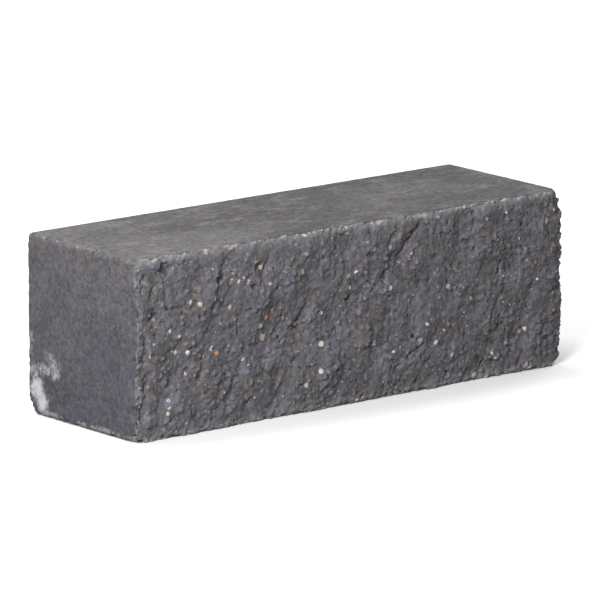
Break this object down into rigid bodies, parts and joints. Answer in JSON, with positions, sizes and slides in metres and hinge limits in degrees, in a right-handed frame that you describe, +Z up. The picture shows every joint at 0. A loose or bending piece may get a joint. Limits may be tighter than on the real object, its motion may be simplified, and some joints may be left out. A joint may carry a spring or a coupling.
{
  "type": "split-faced walling block",
  "caption": "Solid rectangular concrete walling block with flat moulded beds, back and ends and one rough split front, laid dry or on adhesive in low garden walls.",
  "frame": {"origin": "on the lower bed, in the middle of the block's length and depth", "axes": "+X along the length, +Y from the split front to the moulded back, +Z up from the lower bed to the upper bed"},
  "size_m": [0.3, 0.1001, 0.1],
  "materials": {
    "concrete": "anthracite through-coloured concrete, moulded faces fine-grained and matt, front split to rough broken stone"
  },
  "bodies": {
    "root": {"wall_block": "concrete"}
  },
  "joints": []
}
